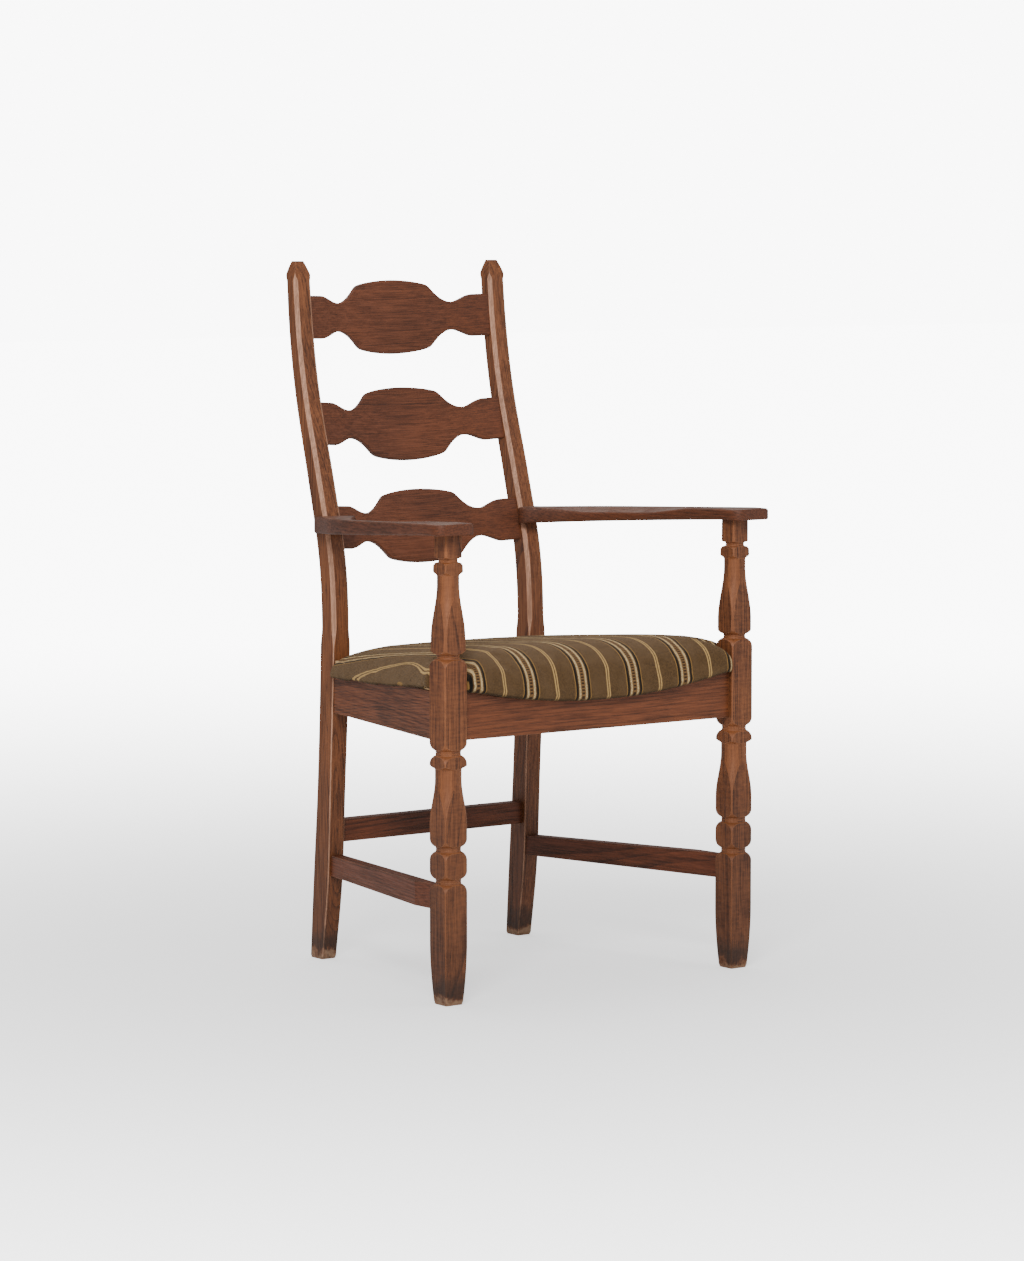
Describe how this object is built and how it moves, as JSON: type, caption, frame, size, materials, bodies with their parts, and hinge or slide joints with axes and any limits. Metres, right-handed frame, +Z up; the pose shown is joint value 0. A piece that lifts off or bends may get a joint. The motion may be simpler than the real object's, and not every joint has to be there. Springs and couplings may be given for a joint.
{
  "type": "armchair",
  "caption": "Ladder-back wooden armchair with square-and-turned front legs, shaped back slats, curved arms and an upholstered seat",
  "frame": {"origin": "middle of the footprint, on the floor", "axes": "+Z up, the chair faces -Y, +X to the right when it is seen from in front"},
  "size_m": [0.6186, 0.571, 1.07],
  "materials": {
    "oak": "stained oak, satin, worn lighter on edges and chamfers",
    "oak_dark": "darker red-brown stained oak, satin",
    "oak_arm": "stained oak, polished and greyed by hands",
    "beech": "bare beech, sawn",
    "plywood": "bare birch plywood",
    "screw_steel": "zinc-plated",
    "padding": "polyurethane foam",
    "wool": "woven wool, olive brown with stripes running front to back",
    "dust_cloth": "thin black woven cloth"
  },
  "bodies": {
    "root": {"rear_post_left": "oak", "rear_post_right": "oak", "front_leg_left": "oak", "front_leg_right": "oak", "back_slat_top": "oak_dark", "back_slat_middle": "oak_dark", "back_slat_bottom": "oak_dark", "armrest_left": "oak_arm", "armrest_right": "oak_arm", "front_rail": "oak_dark", "rear_rail": "oak_dark", "side_rail_left": "oak_dark", "side_rail_right": "oak_dark", "side_stretcher_left": "oak_dark", "side_stretcher_right": "oak_dark", "rear_stretcher": "oak_dark", "corner_block_front_left": "beech", "corner_block_front_right": "beech", "corner_block_rear_left": "beech", "corner_block_rear_right": "beech", "corner_block_screws": "screw_steel", "seat_fixing_screws": "screw_steel", "armrest_screws": "screw_steel", "armrest_plugs": "oak", "seat_board": "plywood", "seat_padding": "padding", "seat_cover": "wool", "cover_staples": "screw_steel", "dust_cloth": "dust_cloth"}
  },
  "joints": []
}
